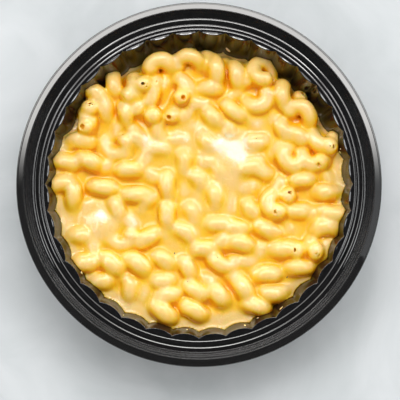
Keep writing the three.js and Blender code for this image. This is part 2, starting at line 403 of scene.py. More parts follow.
@dataclass(frozen=True)
class SauceFinish:
    """Wet cheese sauce, whose colour follows a tone that holds painted light: near white at painted
    highlights, deep orange at painted shade.

    Attributes:
        stops: Colours by tone, from 0, a painted highlight, through the sauce's own yellow, to 1,
            the painted shade of a deep crease.
        cloud_drift: How far broad patches change the tone.
        curd_drift: How far fine patches change it.
    """

    name: str = "cheese_sauce"
    # The first stop is the colour of painted highlights; the stops past the middle are painted
    # shade of creases and front sides.
    stops: Stops = (
        (0.0, (0.96, 0.83, 0.60)),
        (0.09, (0.95, 0.65, 0.25)),
        (0.24, (0.945, 0.60, 0.125)),
        (0.42, (0.945, 0.575, 0.035)),
        (0.64, (0.93, 0.50, 0.008)),
        (1.00, (0.84, 0.32, 0.002)),
    )
    roughness: Pair = (0.2, 0.36)
    cloud_scale: float = 60.0
    cloud_drift: float = 0.12
    curd_scale: float = 420.0
    curd_drift: float = 0.05

    def material(self) -> bpy.types.Material:
        """Builds the material.

        Returns:
            The material.
        """
        shader = Shader(self.name)
        clouds = shader.noise(self.cloud_scale, detail=3.0)
        curds = shader.noise(self.curd_scale, detail=3.0, pattern=Pattern.MOTTLED)
        drift = shader.add(
            shader.spread(clouds, -self.cloud_drift, self.cloud_drift),
            shader.spread(curds, -self.curd_drift, self.curd_drift),
        )
        # The tone attribute brings painted shade and painted highlights into the base colour here.
        shader.paint(shader.add(shader.attribute(PAINTED_SHADE_TONE), drift), self.stops)
        shader.roughen(clouds, self.roughness)
        shader.set(
            IOR=1.5,
            Subsurface_Weight=0.35,
            Subsurface_Radius=(1.0, 0.42, 0.12),
            Subsurface_Scale=0.0015,
            Coat_Weight=0.6,
            Coat_Roughness=0.08,
            Coat_IOR=1.6,
        )
        shader.bump(shader.add(clouds, curds), distance=0.0003, strength=0.55)
        return shader.material


@dataclass(frozen=True)
class PastaFinish:
    """Cooked macaroni: smooth, slightly see-through, deeper yellow than the sauce."""

    stops: Stops = ((0.3, (0.95, 0.62, 0.22)), (0.7, (0.92, 0.50, 0.12)))
    roughness: Pair = (0.3, 0.45)
    grain_scale: float = 300.0

    def material(self) -> bpy.types.Material:
        """Builds the material.

        Returns:
            The material.
        """
        shader = Shader("macaroni")
        grain = shader.noise(self.grain_scale, detail=3.0)
        shader.paint(grain, self.stops)
        shader.roughen(grain, self.roughness)
        shader.set(
            IOR=1.42,
            Subsurface_Weight=0.3,
            Subsurface_Radius=(1.0, 0.5, 0.15),
            Subsurface_Scale=0.002,
        )
        shader.bump(grain, distance=0.0001, strength=0.3)
        return shader.material


@dataclass(frozen=True)
class SpeckFinish:
    """Dark green-brown ground pepper, wet with sauce."""

    stops: Stops = ((0.35, (0.10, 0.055, 0.012)), (0.7, (0.26, 0.17, 0.04)))
    grain_scale: float = 900.0

    def material(self) -> bpy.types.Material:
        """Builds the material.

        Returns:
            The material.
        """
        shader = Shader("pepper")
        shader.paint(shader.noise(self.grain_scale), self.stops)
        shader.set(Roughness=0.35)
        return shader.material


@dataclass(frozen=True)
class TableFinish:
    """Pale, faintly mottled table top."""

    stops: Stops = ((0.35, (0.57, 0.61, 0.635)), (0.62, (0.665, 0.70, 0.73)))
    patch_scale: float = 14.0

    def material(self) -> bpy.types.Material:
        """Builds the material.

        Returns:
            The material.
        """
        shader = Shader("table")
        patches = shader.noise(self.patch_scale, detail=8.0, pattern=Pattern.MOTTLED)
        shader.paint(patches, self.stops)
        shader.set(Roughness=0.65)
        shader.bump(patches, distance=0.001, strength=0.1)
        return shader.material


# ---- The container ----


@dataclass(frozen=True)
class FlutedWall:
    """The container's inner face, which the sauce meets."""

    top_radius: float = 91.3
    top_height: float = 39.2
    flare: float = np.radians(21.0)
    flutes: int = 36
    depth: float = 2.4
    power: float = 0.8
    fade: Pair = (3.0, 12.0)

    def radius(self, angle: Array, height: Array | float) -> Array:
        """Inside radius: that of a straight leaning wall, less the flutes.

        A flute bulges inward by the depth times |sin(half the number of flutes
        times the angle from +Y)| to a power, and fades out at the wall's foot.

        Args:
            angle: Angle from +X, in radians.
            height: Height above the base.

        Returns:
            The radius at each angle and height.
        """
        straight = self.top_radius - (self.top_height - height) * np.tan(self.flare)
        bulge = np.abs(np.sin(self.flutes / 2 * (angle - np.pi / 2))) ** self.power
        return straight - self.depth * smoothstep(height, *self.fade) * bulge

    def place(self, angle: Array, height: Array) -> Array:
        """Places on the inner face.

        Args:
            angle: Angle from +X, in radians.
            height: Height above the base.

        Returns:
            One row of x, y, z for each angle and height.
        """
        radius = self.radius(angle, height)
        return np.stack([radius * np.cos(angle), radius * np.sin(angle), height], axis=-1)


@dataclass(frozen=True)
class Container:
    """Thin shell with a fluted wall and a rim of ridges, a rising band and a lip.

    Attributes:
        wall_outset: How far outside the inner face the outer one is, on the level.
        floor_rings: Radii of the rows on the floor and on the base.
        corner_reach: How far past their edges the corner's sharp point is, below and above.
        foot: Height at which the wall leaves the rounded corner.
        under_bend: Width and depth of the bend from the wall to the flange's underside.
        falls: Middle and width of each face of the flange that falls outward.
        rises: Middle and width of each one that rises outward.
        fall_slopes: Slopes of a falling face's inner and outer halves.
        rise_slopes: Slopes of a rising face's inner and outer halves.
        step_radii: Middles of the steep faces by which the band climbs.
        rounding: Length over which a face's end is rounded.
        top_gap: How far below the top the band ends.
        lip_lift: How far above the top the lip's slope would be at its start.
        lip_rounding: Length over which the band and the lip join.
        lip_turn: Width and depth of the rounding that ends the lip.
        lip_corner: Where its sharp corner's height is taken, in from the rim.
        crest_turn: Width and depth of the rounding over the wall's crest.
        underside: Radius and depth below the top of each corner of the rim's underside.
        hem_rounding: Height of the roundings of the skirt's hem.
        hem_flat: How far in from its outside the hem is level.
        row_gap: Distance of the rows on either side of a face's end.
        step_gap: Distance of the rows on either side of a step's middle.
        lip_rows: Where the lip's rows start and stop, past its two ends, and their number.
    """

    rim_radius: float
    height: float
    wall: FlutedWall = FlutedWall()
    thickness: float = 1.2
    wall_outset: float = 1.3
    floor_radius: float = 72.0
    floor_rings: tuple[float, ...] = (24.0, 50.0)
    corner_reach: Pair = (4.6, 5.0)
    foot: float = 6.0
    under_bend: Pair = (3.0, 1.0)
    groove_height: float = 38.4
    cone_radius: float = 90.1
    cone_slope: float = 0.3
    falls: Pairs = ((92.1, 0.85), (94.3, 0.85), (98.0, 0.85))
    rises: Pairs = (
        (92.95, 0.5),
        (96.7, 0.7),
        (99.4, 0.22),
        (100.6, 0.22),
        (101.7, 0.22),
        (103.4, 0.14),
    )
    fall_slopes: Pair = (-0.25, -0.34)
    rise_slopes: Pair = (0.30, 0.42)
    step_radii: tuple[float, ...] = (99.66, 100.86, 101.96, 103.1)
    step_width: float = 0.3
    rounding: float = 0.03
    top_gap: float = 0.05
    lip_radius: float = 103.3
    lip_lift: float = 0.25
    lip_slope: float = 0.82
    lip_rounding: float = 0.06
    lip_turn: Pair = (1.3, 4.0)
    lip_corner: float = 0.4
    crest_turn: Pair = (0.45, 0.4)
    underside: Pairs = ((100.1, 4.8), (103.0, 1.9), (105.8, 3.4), (106.8, 4.2))
    skirt_drop: float = 5.6
    skirt_taper: float = 0.5
    hem_rounding: float = 0.5
    hem_flat: float = 0.3
    columns_per_flute: int = 14
    row_gap: float = 0.04
    step_gap: float = 0.27
    lip_rows: tuple[float, float, int] = (-0.3, 0.05, 12)
    cone_rows: int = 5

    @property
    def angles(self) -> Array:
        """The angle of each column."""
        columns = self.wall.flutes * self.columns_per_flute
        return np.arange(columns) * 2 * np.pi / columns

    def slopes(self) -> Array:
        """The flange's faces. The steep ones share the climb that the others leave.

        Returns:
            One row for each face: the radii where it starts and ends, and its slope.
        """
        faces = [
            (at + side * width / 4, width / 2, slope)
            for marks, slopes in ((self.falls, self.fall_slopes), (self.rises, self.rise_slopes))
            for at, width in marks
            for side, slope in zip((-1, 1), slopes)
        ]
        gentle = sum(width * slope for _, width, slope in faces)
        climb = self.height - self.top_gap - self.groove_height - gentle
        steep = climb / len(self.step_radii) / self.step_width
        faces += [(at, self.step_width, steep) for at in self.step_radii]
        middle, width, slope = np.array(faces).T
        return np.stack([middle - width / 2, middle + width / 2, slope], axis=-1)

    def flange(self, radius: Array | float) -> Array:
        """Height of the flange's top face.

        It is level but for its faces: low ones, of two slopes each, that make
        the ridges and the foot of each step, and steep ones that climb to the
        lip. The corners are rounded: a face adds its slope times
        k ln(1 + e^((radius - start)/k)), less the same for its end. Inside the
        faces the cone rises towards the wall, and outside them the lip falls
        off evenly.

        Args:
            radius: Distances from the middle.

        Returns:
            The height at each distance.
        """
        rise = self.groove_height + self.cone_slope * np.maximum(self.cone_radius - radius, 0)
        for start, end, slope in self.slopes():
            past = [
                self.rounding * np.logaddexp(0, (radius - edge) / self.rounding)
                for edge in (start, end)
            ]
            rise = rise + slope * (past[0] - past[1])
        fall = self.height + self.lip_lift - self.lip_slope * (radius - self.lip_radius)
        soft = self.lip_rounding
        return np.minimum(-soft * np.logaddexp(-rise / soft, -fall / soft), self.height)

    def _rows(self, radius: Array | float, height: Array | float) -> Array:
        """One row or several, of which the radius and the height may follow the angle."""
        return np.stack(np.broadcast_arrays(radius, height, self.angles)[:2], axis=-1)

    def _wall_rows(self, high: Array | float, outset: float, rows: int) -> Array:
        """Evenly spaced rows up the wall from its foot.

        Args:
            high: Height of the last row.
            outset: How far outside the inner face they are.
            rows: How many there are.

        Returns:
            Rows by columns by two: radius and height.
        """
        height = self.foot + (high - self.foot) * np.linspace(0, 1, rows)[:, None]
        return self._rows(self.wall.radius(self.angles, height) + outset, height)

    def _outside(self) -> list[Array]:
        """The base, the wall's outside and the bend under the flange.

        Returns:
            Rows and blocks of rows of radius and height, in order.
        """
        under = self.groove_height - self.thickness
        width, depth = self.under_bend
        wall = self._wall_rows(under - depth, self.wall_outset, rows=9)
        base_edge = self._rows(self.floor_radius, 0.0)
        base_corner = self._rows(self.floor_radius + self.corner_reach[0], 0.0)
        corner = self._rows(self.wall.radius(self.angles, under) + self.wall_outset, under)
        return [
            self._rows(np.array(self.floor_rings)[:, None], 0.0),
            base_edge,
            bend(base_edge, base_corner, wall[0], rows=7),
            wall[1:],
            bend(wall[-1], corner, self._rows(self.wall.top_radius + width, under), rows=5),
        ]

    def _skirt(self) -> list[Array]:
        """The rim's underside, the skirt's inside, its rounded hem and its outside.

        Returns:
            Rows and blocks of rows of radius and height, in order.
        """
        inner, hem = self.rim_radius - self.thickness, self.rim_radius - self.skirt_taper
        bottom = self.height - self.skirt_drop
        inner_end = self._rows(inner, bottom + self.hem_rounding)
        outer_end = self._rows(hem, bottom + self.hem_rounding)
        hem_edge = self._rows(hem - self.hem_flat, bottom)
        return [
            *(self._rows(radius, self.height - depth) for radius, depth in self.underside),
            inner_end,
            bend(inner_end, self._rows(inner, bottom), hem_edge, rows=3),
            bend(hem_edge, self._rows(hem, bottom), outer_end, rows=3),
            self._rows(self.rim_radius, bottom + 2 * self.hem_rounding),
        ]

    def _flange_radii(self) -> Array:
        """Radii of the rows across the flange.

        Returns:
            The radii from the lip in: evenly spaced ones on the lip, three at
            either end of every face, and one on either side of each step.
        """
        past_end, past_start, rows = self.lip_rows
        lip_end = self.rim_radius - self.lip_turn[0]
        lip = np.linspace(lip_end + past_end, self.lip_radius + past_start, rows)
        ends = self.slopes()[:, :2, None] + self.row_gap * np.array([-1, 0, 1])
        beside = np.add.outer(self.step_radii, self.step_gap * np.array([-1, 1]))
        return np.unique(np.concatenate([lip, ends.ravel(), beside.ravel()]).round(2))[::-1]

    def _top(self) -> list[Array]:
        """The lip's rounded end, the flange, the cone, the wall's crest and its inside.

        Returns:
            Blocks of rows of radius and height, in order.
        """
        lip_end = self.rim_radius - self.lip_turn[0]
        side = self._rows(self.rim_radius, self.height - self.lip_turn[1])
        corner = self._rows(self.rim_radius, self.flange(self.rim_radius - self.lip_corner))
        radii = self._flange_radii()
        wall_edge = self.wall.radius(self.angles, self.groove_height)
        crest = self.flange(wall_edge)
        width, depth = self.crest_turn
        share = np.linspace(0, 1, self.cone_rows + 1)[1:, None]
        cone_radii = radii[-1] + (wall_edge + width - radii[-1]) * share
        cone = self._rows(cone_radii, self.flange(cone_radii))
        wall = self._wall_rows(crest - depth, outset=0.0, rows=22)[::-1]
        return [
            bend(side, corner, self._rows(lip_end, self.flange(lip_end)), rows=7),
            self._rows(radii[:, None], self.flange(radii)[:, None]),
            cone,
            bend(cone[-1], self._rows(wall_edge, crest), wall[0], rows=5),
            wall[1:],
        ]

    def rings(self) -> Array:
        """The shell's outline at every angle, from the base's middle over the rim to the floor's.

        Returns:
            Rows by columns by two: radius and height.
        """
        top = self._top()
        corner = self._rows(self.floor_radius + self.corner_reach[1], self.thickness)
        floor_edge = self._rows(self.floor_radius, self.thickness)
        inside = [
            bend(top[-1][-1], corner, floor_edge, rows=7),
            self._rows(np.array(self.floor_rings)[::-1, None], self.thickness),
        ]
        parts = [*self._outside(), *self._skirt(), *top, *inside]
        return np.concatenate([part if part.ndim == 3 else part[None] for part in parts])

    def build(self) -> bpy.types.Object:
        """Makes the shell as one closed mesh and dresses it.

        Returns:
            The finished piece.
        """
        radius, height = np.moveaxis(self.rings(), -1, 0)
        x, y = radius * np.cos(self.angles), radius * np.sin(self.angles)
        grid = np.stack([x, y, height], axis=-1)
        points, faces = capped_grid(grid, np.zeros(3), self.thickness * UP)
        piece = mesh_object("take_away_container", points, faces)
        return finish_piece(piece, PlasticFinish().material(), "container")


# ---- The macaroni ----


@dataclass(frozen=True)
class Corkscrew:
    """One tube of macaroni, wound right-handed about a tilted axis.

    Attributes:
        x: Middle of the axis.
        y: Middle of the axis.
        top: Height that the coated tube reaches.
        heading: Direction of the axis, in degrees counter-clockwise from +X.
        tilt: How far the forward end is raised, in degrees.
        turns: Number of turns.
        phase: 0 where the middle of the tube passes over the axis, 180 under it.
        coated_radius: Radius of the tube with its coat of sauce.
        reach: How far from its axis the coated tube reaches.
        pitch: How far along its axis one turn goes.
    """

    x: float
    y: float
    top: float
    heading: float
    tilt: float = 0.0
    turns: float = 1.2
    phase: float = 0.0
    coated_radius: float = 5.4
    reach: float = 10.4
    pitch: float = 13.6

    @property
    def coil_radius(self) -> float:
        """Radius of the centre line's coil: a fatter tube is wound more tightly."""
        return self.reach - self.coated_radius

    def _wind(self, count: int) -> tuple[Array, Array, Array]:
        """The helix about the origin.

        Args:
            count: Number of points.

        Returns:
            Points, unit directions and unit radii away from the axis.
        """
        turn = np.linspace(-0.5, 0.5, count)[:, None] * self.turns
        angle = 2 * np.pi * turn + np.radians(self.phase)
        heading, tilt = np.radians(self.heading), np.radians(self.tilt)
        level = np.array([np.cos(heading), np.sin(heading), 0.0])
        forward = np.cos(tilt) * level + np.sin(tilt) * UP
        left = np.cross(UP, level)
        up = np.cross(forward, left)
        outward = np.cos(angle) * up - np.sin(angle) * left
        around = -np.sin(angle) * up - np.cos(angle) * left
        direction = self.pitch * forward + 2 * np.pi * self.coil_radius * around
        return self.pitch * turn * forward + self.coil_radius * outward, unit(direction), outward

    def centre_line(self, count: int) -> tuple[Array, Array, Array]:
        """The tube's centre line, placed.

        Args:
            count: Number of points.

        Returns:
            Points, unit directions and unit radii away from the axis.
        """
        crest = self._wind(CREST_POINTS)[0][:, 2].max()
        points, direction, outward = self._wind(count)
        place = np.array([self.x, self.y, self.top - self.coated_radius - crest])
        return points + place, direction, outward


PLACED = (
    # along the clear edge at the back, from left to right
    Corkscrew(-66, 38, 34.5, -15),
    Corkscrew(-49, 44.5, 35, -15, turns=1.9, phase=180),
    Corkscrew(-39.5, 58, 35.5, -8, tilt=18, turns=2.05, phase=277),
    Corkscrew(-21.5, 71, 36.5, -135, tilt=52, turns=1.1, phase=297),
    Corkscrew(-4.5, 74, 36, -135, tilt=52, turns=1.1, phase=297),
    Corkscrew(16, 66.5, 36, -15, turns=1.9, phase=180),
    Corkscrew(37.5, 67.5, 36.5, 30, tilt=80, turns=1.3, phase=200, coated_radius=4.9),
    Corkscrew(51, 53, 36, -20, turns=1.15),
    Corkscrew(61.5, 41.5, 36.5, -170, tilt=50, turns=0.9, phase=338),
    Corkscrew(71.5, 26.5, 36, 30, tilt=50, turns=1.1, phase=312),
    Corkscrew(59, 30, 34.5, 36, turns=1.1),
    # behind the middle
    Corkscrew(-11, 46.5, 35.5, 40, tilt=58, turns=1.1, phase=42),
    Corkscrew(21, 44.5, 35.5, 26),
    Corkscrew(34.5, 50.5, 34.5, 60, tilt=60, turns=0.8),
    Corkscrew(-50, 24, 34.8, 0, tilt=78, turns=1.15, coated_radius=4.9),
    # left side
    Corkscrew(-70, 25, 34.2, 56, turns=1.1),
    Corkscrew(-66, 13, 35.5, 46, turns=1.1),
    Corkscrew(-79.5, 12.5, 34.5, 51, turns=0.9),
    Corkscrew(-83, 2, 34, 86, turns=0.8),
    Corkscrew(-57, -1.5, 35.5, 61, turns=1.1),
    Corkscrew(-41, 9, 35, 68, turns=1.4),
    Corkscrew(-18, 0, 34.5, -22, turns=1.3),
    Corkscrew(-38, -6, 34.8, 66, turns=1.4),
    Corkscrew(-19, -18, 34.5, -24, turns=1.1),
    Corkscrew(-31, -32, 34.5, 91, turns=1.3),
    Corkscrew(-47, -30, 34, 0, tilt=75, turns=1.0, coated_radius=4.9),
    # the middle and the right side
    Corkscrew(28, -0.5, 35, 82, turns=2.7),
    Corkscrew(8, -7, 34.3, -14, turns=1.1),
    Corkscrew(24.3, -36, 35.5, 51, turns=1.3),
    Corkscrew(44.5, -10.5, 35.3, -45, tilt=55, turns=1.05, phase=294),
    Corkscrew(61.5, 3, 34.8, 76, turns=1.1),
    Corkscrew(55, 17, 35.2, -30, tilt=60, turns=0.8),
    Corkscrew(66.5, 16, 35, 20, tilt=55, turns=0.8),
    Corkscrew(75, -4, 34.5, 66, turns=1.1),
    Corkscrew(79, -16, 35, 56, turns=1.1),
    Corkscrew(75, -26.5, 35.5, 66, turns=1.3),
    Corkscrew(40.5, -27, 35, 36, turns=1.4),
    Corkscrew(49, -37.5, 35.5, 66, turns=1.3),
    # front
    Corkscrew(40.5, -54, 35, 66, turns=1.3),
    Corkscrew(59, -49, 35.5, 66, turns=1.3),
    Corkscrew(26, -62, 35.5, 8),
    Corkscrew(33, -73, 34.8, 45, turns=1.1),
    Corkscrew(11, -66, 34.5, 11, turns=1.1),
    Corkscrew(-3, -74.5, 35, 31, turns=1.3),
    Corkscrew(-21.5, -75.5, 35.5, 16),
    Corkscrew(-52, -47, 36, 26, turns=1.3),
    Corkscrew(-36.5, -48, 36, 24, turns=1.3),
    Corkscrew(-67, -45.5, 35, 71, turns=1.0),
)

SETTLED = (
    # lower ones that the sauce half covers, from the back to the front
    Corkscrew(-62, 53, 34, 16, turns=0.9),
    Corkscrew(7, 57, 34, 66, turns=1.0),
    Corkscrew(-32, 52, 34.8, 120, tilt=58, turns=1.1, phase=282),
    Corkscrew(8.5, 40.5, 34, 31, turns=1.0),
    Corkscrew(53, 34, 34, 0, tilt=50, turns=0.9),
    Corkscrew(-21.5, 33.5, 34, -20, tilt=45, turns=0.9),
    Corkscrew(-25, 20, 33.6, 69, turns=1.1),
    Corkscrew(-10, 14, 33.6, -24, turns=1.0),
    Corkscrew(-76, -6, 34, -24),
    Corkscrew(59, -16, 33.8, 66, turns=1.1),
    Corkscrew(10, -22, 33.4, 66, turns=0.8),
    Corkscrew(22, -24.5, 34, 46, turns=1.0),
    Corkscrew(-70, -31, 33, 66),
    Corkscrew(70, -37, 34, 10, tilt=40, turns=0.9),
    Corkscrew(2.5, -38, 34, 66, turns=1.0),
    Corkscrew(13.5, -44, 34.3, 20, tilt=50, turns=0.8),
    Corkscrew(-22, -46, 33.6, 26, turns=1.1),
    Corkscrew(-21.5, -56, 33.6, 66, turns=0.9),
    Corkscrew(-42, -61.5, 33.2, -24, turns=1.0),
    Corkscrew(43.5, -63, 33.8, 56, turns=1.1),
    Corkscrew(-2, -63, 34.3, 21, turns=1.1),
    Corkscrew(-19, -66, 34.2, 76, turns=1.0),
    # short ones whose cut end looks up
    *(
        Corkscrew(x, y, top, heading, turns=0.45, phase=194)
        for x, y, top, heading in (
            (-37.5, 55.9, 38.8, -20),
            (-66.3, 40.2, 38.2, 200),
            (-13.5, 46, 38.8, 0),
            (49.6, -11.3, 38.4, 180),
            (63.2, -39.9, 38.2, -60),
            (75, 17.5, 38.4, 0),
            (-32.4, 43.5, 38.0, -90),
        )
    ),
    # at the front left edge
    Corkscrew(-57.5, -56.5, 33.4, 66, turns=0.9),
)


def draws(seed: int) -> Iterator[float]:
    """Repeatable draws between 0 and 1, by the Park and Miller rule.

    Args:
        seed: Where the draws start.

    Yields:
        One draw after another.
    """
    factor, modulus = 16807, 2**31 - 1
    while True:
        seed = seed * factor % modulus
        yield seed / modulus


def between(limits: Pair, share: float) -> float:
    """The number that lies a share of the way from the first limit to the second."""
    return limits[0] + (limits[1] - limits[0]) * share


@dataclass(frozen=True)
class FillRule:
    """Spreads corkscrews over the places that the listed ones leave.

    Attributes:
        tries: How many places to draw at most.
        spacing: Least distance between two corkscrews' middles.
        clear_edge: A y and a distance from the middle, past both of which none may lie.
        pool: Middle and radius of a round place that stays free.
        top: Limits of the height.
        turns: Limits of the number of turns.
        heading_middle: Usual heading at the middle.
        heading_across: By how much more it is at the right edge.
        heading_spread: Range of the headings about the usual one.
    """

    seed: int = 20
    count: int = 12
    tries: int = 4000
    radius: float = 76.0
    spacing: float = 13.5
    clear_edge: Pair = (45.0, 66.0)
    pool: Triple = (22.0, 23.0, 10.5)
    top: Pair = (32.6, 34.4)
    turns: Pair = (0.9, 1.6)
    heading_middle: float = 20.0
    heading_across: float = 60.0
    heading_spread: float = 50.0
    tilt: float = 25.0

    def is_free(self, x: float, y: float, heap: Sequence[Corkscrew]) -> bool:
        """Whether a corkscrew may lie at a place.

        Args:
            x: The place's x.
            y: The place's y.
            heap: Corkscrews that lie there already.

        Returns:
            True where nothing is in the way.
        """
        out = np.hypot(x, y)
        at_clear_edge = y > self.clear_edge[0] and out > self.clear_edge[1]
        crowded = any(np.hypot(other.x - x, other.y - y) < self.spacing for other in heap)
        in_pool = np.hypot(x - self.pool[0], y - self.pool[1]) < self.pool[2]
        return not (out > self.radius or at_clear_edge or crowded or in_pool)

    def fill(self, placed: Sequence[Corkscrew]) -> list[Corkscrew]:
        """Adds corkscrews where a drawn place is free.

        Args:
            placed: Corkscrews that lie there already.

        Returns:
            All of them, the placed ones first.
        """
        draw = draws(self.seed)
        heap = list(placed)
        for _ in range(self.tries):
            if len(heap) == len(placed) + self.count:
                break
            x, y = (self.radius * (2 * next(draw) - 1) for _ in range(2))
            turned, high, tilted, long = (next(draw) for _ in range(4))
            if self.is_free(x, y, heap):
                usual = self.heading_middle + self.heading_across * x / self.radius
                heading = usual + self.heading_spread * (turned - 0.5)
                top, turns = between(self.top, high), between(self.turns, long)
                heap.append(Corkscrew(x, y, top, heading, self.tilt * tilted**2, turns))
        return heap


@dataclass(frozen=True)
class Variety:
    """Makes the corkscrews uneven: fatter towards the front, and each a little by chance.

    Attributes:
        radius: Greatest change of a tube's radius by chance.
        front_radius: Its change at the front, a distance of front from the middle.
        tilt: Greatest change of a level corkscrew's tilt.
    """

    seed: int = 5
    radius: float = 0.35
    front_radius: float = 0.4
    front: float = 80.0
    tilt: float = 24.0
    pitch: float = 1.2

    def vary(self, heap: Sequence[Corkscrew]) -> list[Corkscrew]:
        """Changes the radius, the tilt and the pitch of each corkscrew by three draws.

        Args:
            heap: The corkscrews.

        Returns:
            The same corkscrews, changed.
        """
        draw = draws(self.seed)
        varied = []
        for corkscrew in heap:
            fatter, raised, longer = (2 * next(draw) - 1 for _ in range(3))
            girth = self.radius * fatter - self.front_radius * corkscrew.y / self.front
            raising = self.tilt * raised * (1 - corkscrew.tilt / 90)
            changed = replace(
                corkscrew,
                coated_radius=corkscrew.coated_radius + girth,
                tilt=corkscrew.tilt + raising,
                pitch=corkscrew.pitch + self.pitch * longer,
            )
            varied.append(changed)
        return varied


SHOWN = FillRule()
SUNK = FillRule(
    seed=7,
    count=36,
    spacing=9.5,
    clear_edge=(45.0, 77.0),
    top=(30.0, 32.4),
    turns=(0.8, 1.4),
    heading_spread=150.0,
)


@dataclass(frozen=True)
class Macaroni:
    """The pasta itself: hollow tubes at their true size, inside the coat of sauce.

    Attributes:
        wall_gap: Least distance from the container's inner face.
        coat: Thickness of the coat of sauce.
        bore: Radius of the hole through a tube.
        edge: How far the radius shrinks at an end.
        bulge: How far the end's middle ring stands out.
    """

    heap: Sequence[Corkscrew]
    wall: FlutedWall
    wall_gap: float = 0.4
    coat: float = 0.5
    bore: float = 1.8
    sides: int = 12
    rows_per_turn: int = 16
    fewest_rows: int = 8
    edge: float = 0.7
    bulge: float = 0.2

    def tube(self, corkscrew: Corkscrew) -> Array:
        """One hollow tube.

        Every point is the centre line's, plus a ring radius times
        (cos a outward + sin a sideways). The ring runs along the outside, round
        the end's rounded edge, back through the bore and round the other end.

        Args:
            corkscrew: The tube's path.

        Returns:
            Vertices as rows by sides by three. Rows and sides close.
        """
        count = max(self.fewest_rows, round(corkscrew.turns * self.rows_per_turn))
        points, direction, outward = corkscrew.centre_line(count)
        order = np.concatenate([np.arange(count), np.arange(count)[::-1]])
        points, direction, outward = points[order], direction[order], outward[order]
        sideways = np.cross(direction, outward)
        radii = np.repeat([corkscrew.coated_radius - self.coat, self.bore], count)
        radii[[0, count - 1]] -= self.edge
        radii[[count, -1]] += self.edge / 2
        shift = np.zeros(2 * count)
        shift[[0, -1]] = -self.bulge
        shift[[count - 1, count]] = self.bulge
        angle = (np.arange(self.sides) * 2 * np.pi / self.sides)[None, :, None]
        ring = np.cos(angle) * outward[:, None, :] + np.sin(angle) * sideways[:, None, :]
        centre = points + shift[:, None] * direction
        return self.pressed(centre[:, None, :] + radii[:, None, None] * ring)

    def pressed(self, points: Array) -> Array:
        """Moves points that lie beyond the container's wall straight in, to just inside it.

        Args:
            points: Any array whose last axis is x, y and z.

        Returns:
            The points, moved where they have to be.
        """
        x, y, z = np.moveaxis(points, -1, 0)
        room = self.wall.radius(np.arctan2(y, x), z) - self.wall_gap
        share = np.minimum(1, room / np.hypot(x, y))
        return np.stack([x * share, y * share, z], axis=-1)

    def build(self) -> bpy.types.Object:
        """Joins all the tubes into one mesh and dresses it.

        Returns:
            The finished piece.
        """
        points, faces, start = [], [], 0
        for corkscrew in self.heap:
            grid = self.tube(corkscrew)
            rows, sides = grid.shape[:2]
            points.append(grid.reshape(-1, 3))
            faces.append(grid_faces(rows, sides, close_rows=True)[:, ::-1] + start)
            start += rows * sides
        piece = mesh_object("corkscrew_macaroni", np.concatenate(points), [np.concatenate(faces)])
        return finish_piece(piece, PastaFinish().material(), "macaroni_cheese")


# ---- The sauce ----


